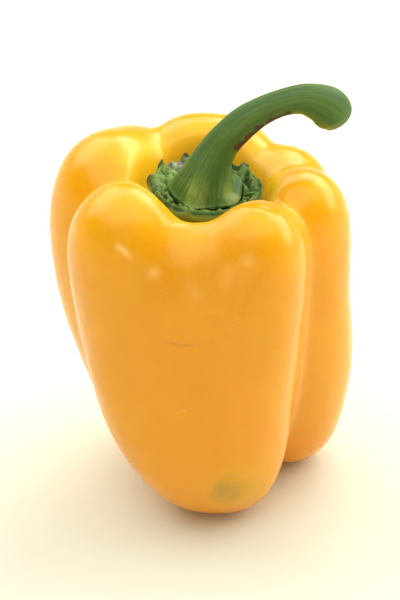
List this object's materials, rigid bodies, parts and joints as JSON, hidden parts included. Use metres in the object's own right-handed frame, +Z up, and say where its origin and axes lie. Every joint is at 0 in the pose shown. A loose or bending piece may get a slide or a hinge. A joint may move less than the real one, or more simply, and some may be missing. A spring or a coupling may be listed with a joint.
{
  "type": "bell pepper",
  "caption": "Blocky bell pepper with rounded lobes, standing on its feet, with a toothed cap in the bowl and a thick ribbed stem that bends to one side.",
  "frame": {"origin": "on the surface that the fruit stands on, under the middle of the bounding box", "axes": "+Z up along the fruit, -Y towards the broad front lobe, +X the way the stem bends"},
  "size_m": [0.0861, 0.0816, 0.1238],
  "materials": {
    "skin": "smooth waxy skin with a soft shine",
    "calyx": "matt green, crinkled",
    "stem": "satin green, finely ribbed"
  },
  "bodies": {
    "root": {"fruit": "skin", "calyx": "calyx", "stem": "stem"}
  },
  "joints": []
}
